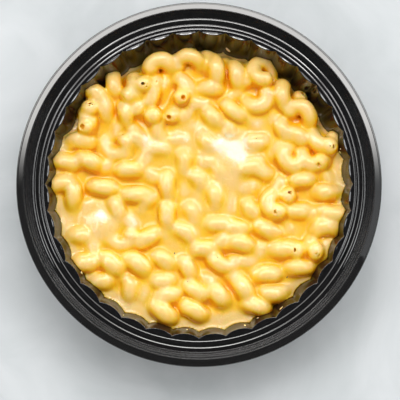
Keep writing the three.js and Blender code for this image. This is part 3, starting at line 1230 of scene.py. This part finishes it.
@dataclass(frozen=True)
class VoxelField:
    """Numbers on a regular grid, with ways to blur, read and contour them.

    Attributes:
        values: The numbers, along x, y and z.
        origin: Place of the first of them.
        step: Spacing of the grid.
        blur_reach: Where a blur's bell curve is cut off, in its own widths.
    """

    values: Array
    origin: Array
    step: float
    blur_reach: float = 2.5

    def blurred(self, width: float) -> "VoxelField":
        """Blurs by a bell curve along each axis in turn.

        Args:
            width: The bell curve's width.

        Returns:
            A blurred copy.
        """
        reach = int(np.ceil(self.blur_reach * width / self.step))
        offsets = np.arange(-reach, reach + 1)
        weights = np.exp(-0.5 * (offsets * self.step / width) ** 2)
        weights /= weights.sum()
        values = self.values
        for axis in range(3):
            spread = [(reach, reach) if other == axis else (0, 0) for other in range(3)]
            padded = np.pad(values, spread, mode="edge")
            size = values.shape[axis]
            values = sum(
                weight * np.take(padded, np.arange(k, k + size), axis=axis)
                for k, weight in enumerate(weights)
            )
        return replace(self, values=values)

    def read(self, points: Array) -> Array:
        """Mixes the eight nearest values by their distance along each axis.

        Args:
            points: One row of x, y, z for each place.

        Returns:
            The value at each place.
        """
        last_cell = np.array(self.values.shape) - 1.001  # just inside it
        place = np.clip((points - self.origin) / self.step, 0, last_cell)
        cell = place.astype(int)
        share = place - cell
        total = np.zeros(len(points))
        for corner in np.ndindex(2, 2, 2):
            weight = np.prod(np.where(corner, share, 1 - share), axis=1)
            x, y, z = (cell + corner).T
            total += weight * self.values[x, y, z]
        return total

    def top_height(self, x: Array, y: Array) -> Array:
        """Height of the highest zero crossing over each place.

        Args:
            x: Places' x.
            y: Places' y.

        Returns:
            The height, mixed in a straight line between the two nearest levels.
        """
        levels = self.origin[2] + self.step * np.arange(self.values.shape[2])
        places = np.stack(np.broadcast_arrays(x[:, None], y[:, None], levels), axis=-1)
        column = self.read(places.reshape(-1, 3)).reshape(len(x), -1)
        last = len(levels) - 1 - np.argmax(column[:, ::-1] < 0, axis=1)
        row = np.arange(len(x))
        inside, outside = column[row, last], column[row, last + 1]
        return levels[last] + self.step * inside / (inside - outside)

    def slope(self, points: Array) -> Array:
        """Finds which way the values rise fastest.

        Args:
            points: One row of x, y, z for each place.

        Returns:
            The unit direction at each place.
        """
        shifts = self.step * np.eye(3)
        rise = [self.read(points + shift) - self.read(points - shift) for shift in shifts]
        return unit(np.stack(rise, axis=-1))

    def contour(self) -> tuple[Array, Array]:
        """Finds the surface where the values cross zero.

        Each cell that the surface crosses gets one vertex, at the mean of the
        crossings on its twelve edges. Each grid edge that the surface crosses
        joins the vertices of its four cells into a quad, which faces the
        positive side.

        Returns:
            The vertices in millimetres and the quads.
        """
        values = self.values
        cells = tuple(size - 1 for size in values.shape)
        corners = {
            corner: values[tuple(slice(c, c + size) for c, size in zip(corner, cells))]
            for corner in np.ndindex(2, 2, 2)
        }
        below = sum((block < 0).astype(np.int8) for block in corners.values())
        active = (below > 0) & (below < 8)
        number = np.full(cells, -1)
        number[active] = np.arange(active.sum())
        total = np.zeros((active.sum(), 3))
        crossings = np.zeros(active.sum())
        for start in corners:
            for axis in range(3):
                if start[axis]:
                    continue
                end = tuple(c + (k == axis) for k, c in enumerate(start))
                first, second = corners[start][active], corners[end][active]
                crossed = (first < 0) != (second < 0)
                share = np.where(crossed, first / np.where(crossed, first - second, 1), 0)
                place = np.tile(np.array(start, float), (len(share), 1))
                place[:, axis] += share
                total += place * crossed[:, None]
                crossings += crossed
        vertices = np.argwhere(active) + total / crossings[:, None]
        quads = [self._quads_across(axis, number) for axis in range(3)]
        return self.origin + self.step * vertices, np.concatenate(quads)

    def _quads_across(self, axis: int, number: Array) -> Array:
        """Joins the cells round the crossed grid edges that run along one axis.

        Args:
            axis: 0, 1 or 2 for x, y or z.
            number: Number of each cell's vertex.

        Returns:
            One row of four vertex numbers for each quad.
        """
        one, two = (axis + 1) % 3, (axis + 2) % 3
        core = [slice(1, -1)] * 3
        core[axis] = slice(None, -1)
        ahead = list(core)
        ahead[axis] = slice(1, None)
        here, there = self.values[tuple(core)] < 0, self.values[tuple(ahead)] < 0
        quads = []
        for mask, order in ((here & ~there, 1), (~here & there, -1)):
            place = np.argwhere(mask)
            place[:, one] += 1
            place[:, two] += 1
            around = []
            for back_one, back_two in ((0, 0), (1, 0), (1, 1), (0, 1))[::order]:
                cell = place.copy()
                cell[:, one] -= back_one
                cell[:, two] -= back_two
                around.append(number[tuple(cell.T)])
            quads.append(np.stack(around, axis=-1))
        return np.concatenate(quads)


@dataclass(frozen=True)
class SauceToneAndPaintedLight:
    """The sauce's tone, from 0, pale, to 1, deep: painted shade in creases and on sloping sides,
    most on front sides, and painted highlights on the pools.

    Attributes:
        ground: Tone where the sauce is level and open.
        blurs: Widths over which the sauce around a place is averaged.
        crease: How full of sauce a place is where the painted shade of a crease starts, and how
            much more ends it.
        crease_gain: The share of the tone that a crease's painted shade takes, and what a front
            side adds to it.
        side: What the lean of a side adds, as painted shade.
        side_power: Power of the lean.
        side_gain: The share of that painted shade that a back side keeps.
        front: How far forward a face looks where the front sides, which get the most painted shade,
            start and end.
        painted_highlight: How much paler the painted highlights make the pools.
        painted_highlight_rise: Heights above the pool over which the painted highlights fade.
        painted_highlights: Middles and widths of the painted highlights.
    """

    ground: float = 0.11
    blurs: Pair = (1.8, 4.5)
    crease: Pair = (0.50, 0.28)
    crease_gain: Pair = (0.8, 0.4)
    side: float = 2.0
    side_power: float = 1.3
    side_gain: float = 0.15
    front: Pair = (-0.35, 0.45)
    # Painted highlights: pale patches on the pools that stand in for the glare of the lamps.
    painted_highlight: float = 0.16
    painted_highlight_rise: Pair = (0.9, 3.0)
    painted_highlights: tuple[Triple, ...] = (
        (12, 25.5, 4.5),
        (21, 23, 5),
        (31, 20.5, 5),
        (-57, -17, 3.5),
        (-30.5, 29.5, 3.5),
        (-2.3, 35.5, 3),
        (-6.4, -20.5, 3),
        (-1.5, -29, 2.5),
        (36, 38.5, 2.5),
        (-6, 24, 3),
        (-37.5, -22.5, 2.5),
        (12, -0.4, 2.5),
    )

    def at(self, points: Array, normals: Array, above: Array, sauce: VoxelField) -> Array:
        """Adds up the ground tone and the painted shade of the creases and the sides, less the
        painted highlights on the pools.

        Args:
            points: One row of x, y, z for each vertex.
            normals: The surface's normals there.
            above: Heights above the pool.
            sauce: Distance to the sauce's surface, negative inside.

        Returns:
            The tone at each vertex.
        """
        full = replace(sauce, values=np.clip(0.5 - sauce.values / (2 * sauce.step), 0, 1))
        crowding = np.mean([full.blurred(width).read(points) for width in self.blurs], axis=0)
        # Front sides, turned away from the lamps, get more painted shade.
        front = smoothstep(-normals[:, 1], *self.front)
        # Painted shade in creases, where the sauce round a place is fullest.
        crease = np.clip((crowding - self.crease[0]) / self.crease[1], 0, 1)
        lean = 1 - normals[:, 2]
        tone = self.ground + crease * (self.crease_gain[0] + self.crease_gain[1] * front)
        # Painted shade on sloping sides, stronger on front sides.
        tone += self.side * lean**self.side_power * (self.side_gain + front)
        # Painted highlights pale the tone near the pool's level.
        painted_highlight_share = self.painted_highlight * (1 - smoothstep(above, *self.painted_highlight_rise))
        for *middle, width in self.painted_highlights:
            tone -= painted_highlight_share * bell(points[:, 0], points[:, 1], middle, width)
        return tone


@dataclass(frozen=True)
class SauceBody:
    """The cheese sauce: a pool with a level that swells, fused softly with every coated tube.

    Attributes:
        step: Spacing of the grid.
        reach: Half width of the grid.
        bottom: Height of the level underside, inside the container.
        ceiling: Height of the grid's top.
        softness: Length over which surfaces melt together.
        blend_reach: How many times that a tube still adds to its surroundings.
        pool_steepness: How fast the distance to the pool grows with the height above it.
        waves: Rise of the broad and of the fine waves of the pool.
        broad_wave: Length and start of the broad ones along x, and along y.
        fine_wave: Lengths of the fine ones along x and y.
        dip: How much lower the pool is at the clear edge.
        dip_radii: Distances from the middle over which the dip sets in.
        dip_y: Values of y over which it sets in.
        swells: Middle, rise and width of each swell of the pool.
        creep: How far the sauce creeps up the wall.
        into_wall: How far it goes into the wall, so that no gap shows.
        path_step: Spacing of the points on a tube's centre line.
        end_flatness: How many times the way past a tube's end counts.
        bore_reach: How far a tube's hole goes in from its end, and out past it.
        lumps: Wave length and rise of the coat's unevenness.
    """

    heap: Sequence[Corkscrew]
    wall: FlutedWall
    step: float = 0.7
    reach: float = 87.6
    bottom: float = 9.0
    ceiling: float = 37.8
    softness: float = 0.8
    blend_reach: float = 5.0
    level: float = 27.8
    pool_steepness: float = 0.9
    waves: Pair = (0.8, 0.6)
    broad_wave: tuple[Pair, Pair] = ((17, 1.3), (21, -0.4))
    fine_wave: Pair = (9, 13)
    mound: float = 1.6
    dip: float = 13.0
    dip_radii: Pair = (70.0, 83.0)
    dip_y: Pair = (20.0, 50.0)
    swells: tuple[tuple[float, ...], ...] = (
        (25, 12, 3.0, 8),
        (8, 24, 2.4, 8),
        (-57, -23, 3.2, 8),
        (-32, 24, 2.6, 7),
        (41, -75, -11, 4),
        (62, -65, -7, 4),
        (73, -55, -6, 4),
    )
    creep: float = 0.9
    creep_width: float = 1.2
    into_wall: float = 0.25
    path_step: float = 0.8
    end_flatness: float = 2.0
    bore: float = 1.35
    bore_reach: Pair = (3.6, 4.0)
    lumps: Pairs = ((14.0, 0.22), (23.0, 0.35))
    most_triangles: int = 190_000
    tone: SauceToneAndPaintedLight = SauceToneAndPaintedLight()

    def lumpiness(self, x: Array, y: Array, z: Array) -> Array:
        """Unevenness of the coat: for each wave length, a product of three crossing sine waves.

        Args:
            x: Places' x.
            y: Places' y.
            z: Places' z.

        Returns:
            How far the coat is pushed in at each place.
        """
        total = 0.0
        across, along, lean = 0.8, 0.6, 0.1
        for k, (length, rise) in enumerate(self.lumps):
            wave = 2 * np.pi / length
            first = np.sin(wave * (across * x + along * y) + k)
            second = np.sin(wave * (along * x - across * y) + 2.0 * k)
            third = np.sin(wave * z + lean * wave * x + 3.0 * k)
            total = total + rise * first * second * third
        return total

    def surface_level(self, x: Array, y: Array) -> Array:
        """Level of the pool: waves, a mound, a dip at the clear edge, swells and a creep.

        Args:
            x: Places' x.
            y: Places' y.

        Returns:
            The level at each place.
        """
        (length_x, start_x), (length_y, start_y) = self.broad_wave
        broad = np.sin(x / length_x + start_x) * np.cos(y / length_y + start_y)
        fine = np.sin(x / self.fine_wave[0] - y / self.fine_wave[1])
        out = np.hypot(x, y)
        level = self.level + self.waves[0] * broad + self.waves[1] * fine
        level += self.mound * (1 - (out / self.wall.top_radius) ** 2)
        level -= self.dip * smoothstep(y, *self.dip_y) * smoothstep(out, *self.dip_radii)
        for *middle, rise, width in self.swells:
            level += rise * bell(x, y, middle, width)
        gap = self.wall.radius(np.arctan2(y, x), level) - out
        return level + self.creep * np.exp(-np.maximum(gap, 0) / self.creep_width)

    def tube_distance(self, corkscrew: Corkscrew, axes: Sequence[Array]) -> Array:
        """Distance to one coated tube with flattened round ends and a short bore at each.

        The distance to the centre line is the least distance to its points.
        Beyond an end, the way past the end's plane counts several times.

        Args:
            corkscrew: The tube's path.
            axes: The x, y and z of a block of the grid.

        Returns:
            The distance over the block, negative inside the coat.
        """
        length = corkscrew.turns * np.hypot(corkscrew.pitch, 2 * np.pi * corkscrew.coil_radius)
        count = int(length / self.path_step) + 2
        points, direction, _ = corkscrew.centre_line(count)
        offsets = [axis[None, :] - points[:, k, None] for k, axis in enumerate(axes)]

        def total(parts: Sequence[Array]) -> Array:
            """Sum over the block of a number along each axis."""
            x, y, z = parts
            return x[:, None, None] + y[None, :, None] + z[None, None, :]

        def squared(k: int) -> Array:
            """Squared distance to one point of the centre line."""
            return total([offset[k] ** 2 for offset in offsets])

        nearest = squared(1)
        for k in range(2, count - 1):
            np.minimum(nearest, squared(k), out=nearest)
        bores = np.full(nearest.shape, -np.inf)
        deep, past_end = self.bore_reach
        for end, sign in ((0, -1), (count - 1, 1)):
            ahead = sign * direction[end]
            past = total([offset[end] * ahead[k] for k, offset in enumerate(offsets)])
            square = squared(end)
            flattened = square + (self.end_flatness**2 - 1) * np.maximum(past, 0) ** 2
            np.minimum(nearest, flattened, out=nearest)
            across = np.sqrt(np.maximum(square - past**2, 0))
            hole = np.minimum(self.bore - across, past + deep)
            np.maximum(bores, np.minimum(hole, past_end - past), out=bores)
        return np.maximum(np.sqrt(nearest) - corkscrew.coated_radius, bores)

    def distance_field(self) -> VoxelField:
        """Distance to the sauce's surface, softly joined.

        The pool and the tubes are joined as -s ln(sum of e^(-distance/s)), which
        fills the creases between them. The wall and the bottom then cut it.

        Returns:
            The distance, negative inside the sauce.
        """
        side = np.arange(-self.reach, self.reach + self.step, self.step)
        lowest = self.bottom - 1.5 * self.step  # so that the grid's first level is outside
        height = np.arange(lowest, self.ceiling + self.step, self.step)
        grid = (side, side, height)
        x, y, z = np.ix_(*grid)
        pool = self.pool_steepness * (z - self.surface_level(x, y))
        mass = np.exp(-pool / self.softness)
        for corkscrew in self.heap:
            points = corkscrew.centre_line(BOUND_POINTS)[0]
            reach = corkscrew.coated_radius + self.blend_reach * self.softness
            low, high = points.min(axis=0) - reach, points.max(axis=0) + reach
            ends = [np.searchsorted(axis, (low[k], high[k])) for k, axis in enumerate(grid)]
            block = tuple(slice(*pair) for pair in ends)
            axes = [axis[part] for axis, part in zip(grid, block)]
            mass[block] += np.exp(-self.tube_distance(corkscrew, axes) / self.softness)
        distance = -self.softness * np.log(mass) + self.lumpiness(x, y, z)
        outside = np.hypot(x, y) - self.wall.radius(np.arctan2(y, x), z) - self.into_wall
        distance = np.maximum(distance, np.maximum(outside, self.bottom - z))
        return VoxelField(distance, np.array([axis[0] for axis in grid]), self.step)

    def build(self, distance: VoxelField) -> bpy.types.Object:
        """Contours the field, thins the mesh, marks its tone, painted shade and painted highlights
        included, and dresses it.

        Args:
            distance: What distance_field gives.

        Returns:
            The finished piece.
        """
        points, quads = distance.contour()
        piece = mesh_object("cheese_sauce", points, [quads])
        self._thin(piece, 2 * len(quads))
        points, normals = read_vertices(piece.data)
        above = points[:, 2] - self.surface_level(points[:, 0], points[:, 1])
        mark_tone(piece, self.tone.at(points, normals, above, distance))
        return finish_piece(piece, SauceFinish().material(), "macaroni_cheese")

    def _thin(self, piece: bpy.types.Object, triangles: int) -> None:
        """Collapses the least edges of a mesh until few enough triangles are left.

        Args:
            piece: The object.
            triangles: How many triangles it has.
        """
        if triangles <= self.most_triangles:
            return
        thinner = piece.modifiers.new("thinner", "DECIMATE")
        thinner.ratio = self.most_triangles / triangles
        graph = bpy.context.evaluated_depsgraph_get()
        thin = bpy.data.meshes.new_from_object(piece.evaluated_get(graph))
        piece.modifiers.clear()
        piece.data = thin
        piece.data.shade_smooth()


# ---- Splashes and specks ----


@dataclass(frozen=True)
class Drops:
    """Flattened uneven lumps that lie on a surface, one low dome for each place."""

    rings: int = 7
    sides: int = 18
    unevenness: float = 0.16

    def lay(
        self, places: Array, normals: Array, sizes: Array, turns: Array
    ) -> tuple[Array, list[Array]]:
        """Shapes every drop as a squashed ball with a wavy outline.

        A ball's point at height angle u and side angle v is scaled by half its
        size along each of the drop's own axes, and by 1 + a sin(2v + k) +
        a/2 sin(3v - k), where k is the drop's number.

        Args:
            places: Middles, one row for each drop.
            normals: Unit normals of the surface there.
            sizes: Length, width and thickness of each drop.
            turns: Angle by which each drop's length is turned on the surface.

        Returns:
            The vertices and the quads and triangles of all the drops.
        """
        u = np.linspace(-np.pi / 2, np.pi / 2, self.rings + 2)[1:-1]
        v = np.arange(self.sides) * 2 * np.pi / self.sides
        across = unit(np.cross(UP, normals))
        along = np.cross(across, normals)
        cosine, sine = np.cos(turns)[:, None], np.sin(turns)[:, None]
        length, width = cosine * along + sine * across, -sine * along + cosine * across
        number = np.arange(len(places))[:, None, None]
        wave = 1 + self.unevenness * (np.sin(2 * v + number) + 0.5 * np.sin(3 * v - number))
        level = np.cos(u)[:, None]
        height = np.sin(u)[:, None] * np.ones_like(wave)
        ball = np.stack([level * np.cos(v) * wave, level * np.sin(v) * wave, height], axis=-1)
        axes = np.stack([length, width, normals], axis=1) * sizes[:, :, None] / 2
        points = places[:, None, None, :] + np.einsum("nrsk,nkc->nrsc", ball, axes)
        ends = places[:, None, :] + np.array([-1.0, 1.0])[None, :, None] * axes[:, 2][:, None, :]
        vertices, quads, caps, start = [], [], [], 0
        for grid, (low, high) in zip(points, ends):
            drop, (sides, tips) = capped_grid(grid, low, high)
            vertices.append(drop)
            quads.append(sides + start)
            caps.append(tips + start)
            start += len(drop)
        return np.concatenate(vertices), [np.concatenate(quads), np.concatenate(caps)]


@dataclass(frozen=True)
class Splashes:
    """Sauce that dripped on the container's wall above the food.

    Attributes:
        marks: Angle in degrees, height, length, width and thickness of each.
        turn: How far each mark's length is turned from the next one's.
        proud: How far a mark's middle stands out, as a share of its thickness.
        probe: A small angle and height over which the wall's normal is measured.
        tone: Tone of the splashed sauce.
    """

    wall: FlutedWall
    marks: tuple[tuple[float, ...], ...] = (
        (79.7, 14.5, 4.4, 3.0, 1.0),
        (78.0, 22.8, 3.4, 2.6, 0.9),
        (13.1, 30.5, 1.6, 1.4, 0.6),
        (14.2, 33.0, 1.0, 0.9, 0.4),
        (217.0, 33.0, 2.2, 1.8, 0.7),
        (240.0, 34.0, 1.2, 1.0, 0.4),
        (265.3, 32.0, 1.5, 1.2, 0.5),
        (288.0, 34.0, 2.4, 1.4, 0.6),
        (293.7, 32.0, 1.4, 1.2, 0.5),
        (303.5, 36.0, 2.6, 0.9, 0.5),
    )
    turn: float = 0.9
    proud: float = 0.15
    probe: Pair = (0.002, 0.2)
    tone: float = 0.1

    def build(self) -> bpy.types.Object:
        """Lays the marks on the wall's inner face, a little sunk in, and dresses them.

        Returns:
            The finished piece.
        """
        marks = np.array(self.marks)
        angle, height = np.radians(marks[:, 0]), marks[:, 1]
        shift, rise = self.probe
        at = self.wall.place(angle, height)
        up = self.wall.place(angle, height + rise) - at
        along = self.wall.place(angle + shift, height) - at
        normals = unit(np.cross(up, along))
        places = at + self.proud * marks[:, 4:] * normals
        turns = self.turn * np.arange(len(marks))
        points, faces = Drops().lay(places, normals, marks[:, 2:], turns)
        piece = mesh_object("sauce_splashes", points, faces)
        mark_tone(piece, np.full(len(points), self.tone))
        finish = SauceFinish("splashed_sauce").material()
        return finish_piece(piece, finish, "macaroni_cheese")


@dataclass(frozen=True)
class Specks:
    """A few dark specks of ground pepper on the sauce.

    Attributes:
        sauce: Distance to the sauce's surface.
        marks: x, y, length, width and thickness of each.
        turn: How far each speck's length is turned from the next one's.
    """

    sauce: VoxelField
    marks: tuple[tuple[float, ...], ...] = (
        (-14.5, -40.6, 1.0, 0.9, 0.5),
        (34.0, 27.4, 0.8, 0.6, 0.4),
        (52.2, -54.8, 1.7, 0.8, 0.5),
        (11.0, -43.3, 0.9, 0.5, 0.4),
        (-6.7, -57.4, 0.8, 0.5, 0.4),
        (-59.0, 40.0, 0.7, 0.5, 0.4),
        (-19.0, 36.0, 0.8, 0.6, 0.4),
        (77.6, 22.6, 0.8, 0.7, 0.4),
    )
    turn: float = 1.3

    def build(self) -> bpy.types.Object:
        """Lays the specks on the sauce's top and dresses them.

        Returns:
            The finished piece.
        """
        marks = np.array(self.marks)
        x, y = marks[:, 0], marks[:, 1]
        z = self.sauce.top_height(x, y)
        places = np.stack([x, y, z], axis=-1)
        normals = self.sauce.slope(places)
        turns = self.turn * np.arange(len(marks))
        points, faces = Drops(rings=4, sides=9).lay(places, normals, marks[:, 2:], turns)
        piece = mesh_object("pepper_specks", points, faces)
        return finish_piece(piece, SpeckFinish().material(), "macaroni_cheese")


# ---- Table, light and camera ----


@dataclass(frozen=True)
class Table:
    """The plain pale surface that the container stands on."""

    half_width: float = 3000.0

    def build(self) -> bpy.types.Object:
        """Makes the table top and gives it its finish.

        Returns:
            The table top.
        """
        w = self.half_width
        points = np.array([[-w, -w, 0.0], [w, -w, 0.0], [w, w, 0.0], [-w, w, 0.0]])
        table = mesh_object("table", points, [np.array([[0, 1, 2, 3]])])
        table.data.materials.append(TableFinish().material())
        return table


@dataclass(frozen=True)
class SoftBox:
    """A rectangular lamp that faces a point. Its places and sizes are in metres."""

    name: str
    place: Triple
    size: Pair
    radiance: float
    colour: Colour = (1.0, 1.0, 1.0)
    aim: Triple = (0.0, 0.0, 0.03)
    mirrored: bool = True

    def build(self) -> bpy.types.Object:
        """Makes the lamp. Its power is pi times its area times its radiance.

        Returns:
            The lamp.
        """
        lamp = bpy.data.lights.new(self.name, "AREA")
        lamp.shape = "RECTANGLE"
        lamp.size, lamp.size_y = self.size
        lamp.energy = np.pi * self.size[0] * self.size[1] * self.radiance
        lamp.color = self.colour
        made = bpy.data.objects.new(self.name, lamp)
        bpy.context.collection.objects.link(made)
        made.location = self.place
        look = Vector(self.aim) - made.location
        made.rotation_euler = look.to_track_quat("-Z", "Y").to_euler()
        made.visible_camera = False
        made.visible_glossy = self.mirrored
        return made


@dataclass(frozen=True)
class Studio:
    """A dim surround with a wide soft sky over its back half, and a few lamps.

    Attributes:
        tint: Colour of the surround.
        dome: Brightness all round, at heights from 0 at the horizon to 1 overhead.
        sky: Brightness that the back half has on top of it, at the same heights.
        back: Range of the direction's y over which the back half fades in.
        lamps: The lamps.
    """

    tint: Colour = (1.0, 0.985, 0.96)
    dome: Pairs = (
        (0.0, 0.1),
        (0.42, 0.14),
        (0.5, 0.4),
        (0.58, 0.4),
        (0.66, 0.14),
        (0.95, 0.04),
    )
    sky: Pairs = (
        (0.0, 6.6),
        (0.19, 6.6),
        (0.26, 0.0),
        (0.68, 0.0),
        (0.75, 2.5),
        (0.86, 2.5),
        (0.91, 0.0),
    )
    back: Pair = (0.05, 0.45)
    lamps: tuple[SoftBox, ...] = (
        SoftBox("window", (0.05, 0.76, 1.0), (1.7, 0.08), 12.0, (1.0, 0.985, 0.96)),
        SoftBox("strip_left", (-0.70, 0.12, 1.0), (0.9, 0.11), 4.5, (0.97, 0.99, 1.0)),
        SoftBox("strip_right", (0.70, 0.12, 1.0), (0.9, 0.11), 4.5, (0.97, 0.99, 1.0)),
        SoftBox("fill", (0.0, 0.2, 1.2), (1.8, 1.8), 0.48, (1.0, 0.98, 0.94), mirrored=False),
        SoftBox("fill_front", (0.0, -1.2, 0.8), (1.8, 0.8), 1.3, (1.0, 0.98, 0.94), mirrored=False),
        SoftBox("glint", (-0.1, 0.5, 1.36), (0.3, 0.2), 6.0, (1.0, 0.985, 0.97)),
        SoftBox("card_right", (1.35, 0.3, 0.35), (1.8, 0.42), 0.6, (0.95, 0.98, 1.0)),
    )

    def surround(self) -> bpy.types.World:
        """Makes the surround: the dome, plus the sky times how far a direction looks back.

        Returns:
            The world.
        """
        world = bpy.data.worlds.new("surround")
        world.use_nodes = True
        tree = world.node_tree
        way = tree.nodes.new("ShaderNodeTexCoord").outputs["Generated"]
        parts = tree.nodes.new("ShaderNodeSeparateXYZ")
        tree.links.new(way, parts.inputs["Vector"])
        fade = tree.nodes.new("ShaderNodeMapRange")
        fade.interpolation_type = "SMOOTHSTEP"
        fade.inputs["From Min"].default_value, fade.inputs["From Max"].default_value = self.back
        tree.links.new(parts.outputs["Y"], fade.inputs["Value"])
        backgrounds = []
        for levels in (self.dome, self.sky):
            ramp = tree.nodes.new("ShaderNodeValToRGB")
            stops = [(at, tuple(level * channel for channel in self.tint)) for at, level in levels]
            set_stops(ramp.color_ramp, stops)
            tree.links.new(parts.outputs["Z"], ramp.inputs["Fac"])
            background = tree.nodes.new("ShaderNodeBackground")
            tree.links.new(ramp.outputs["Color"], background.inputs["Color"])
            backgrounds.append(background)
        tree.links.new(fade.outputs["Result"], backgrounds[1].inputs["Strength"])
        both = tree.nodes.new("ShaderNodeAddShader")
        for background, socket in zip(backgrounds, both.inputs):
            tree.links.new(background.outputs["Background"], socket)
        tree.links.new(both.outputs["Shader"], tree.nodes["World Output"].inputs["Surface"])
        return world

    def build(self) -> None:
        """Lights the scene with the surround and the lamps."""
        bpy.context.scene.world = self.surround()
        bpy.context.scene.view_settings.view_transform = "Standard"
        for lamp in self.lamps:
            lamp.build()


@dataclass(frozen=True)
class Camera:
    """Looks down on the container from a little to the front, off its middle.

    Attributes:
        rim_share: The rim's radius as a share of the view's half width.
        offset: Where the camera's aim passes the rim's middle, in x and y.
        lean: Angle from straight down.
        far: How far the camera sees, in metres.
    """

    rim_height: float
    rim_radius: float
    distance: float = 1600.0
    rim_share: float = 0.917
    offset: Pair = (0.6, -9.8)
    lean: float = np.radians(4.0)
    sensor: float = 36.0
    far: float = 100.0

    def build(self) -> None:
        """Makes the camera. The lens gives the rim its share of the view."""
        data = bpy.data.cameras.new("camera")
        data.sensor_width = self.sensor
        half_width = self.rim_radius / self.rim_share
        data.lens = self.sensor / 2 * self.distance / half_width
        data.clip_end = self.far
        made = bpy.data.objects.new("camera", data)
        bpy.context.collection.objects.link(made)
        back, height = self.distance * np.sin(self.lean), self.distance * np.cos(self.lean)
        place = (self.offset[0], self.offset[1] - back, self.rim_height + height)
        made.location = Vector(place) * METRES
        made.rotation_euler.x = self.lean
        bpy.context.scene.camera = made


# ---- The whole ----


def main() -> None:
    """Builds every piece in order, then the table, the light and the camera."""
    logging.basicConfig(level=logging.INFO, format="%(name)s: %(message)s")
    _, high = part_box("container")
    rim_radius, height = high[0] / METRES, high[2] / METRES
    container = Container(rim_radius=rim_radius, height=height)
    container.build()
    heap = Variety().vary(SUNK.fill(SHOWN.fill(PLACED + SETTLED)))
    Macaroni(heap, container.wall).build()
    sauce = SauceBody(heap, container.wall)
    distance = sauce.distance_field()
    sauce.build(distance)
    Specks(distance).build()
    Splashes(container.wall).build()
    Table().build()
    Studio().build()
    Camera(rim_height=height, rim_radius=rim_radius).build()


if __name__ == "__main__":
    main()
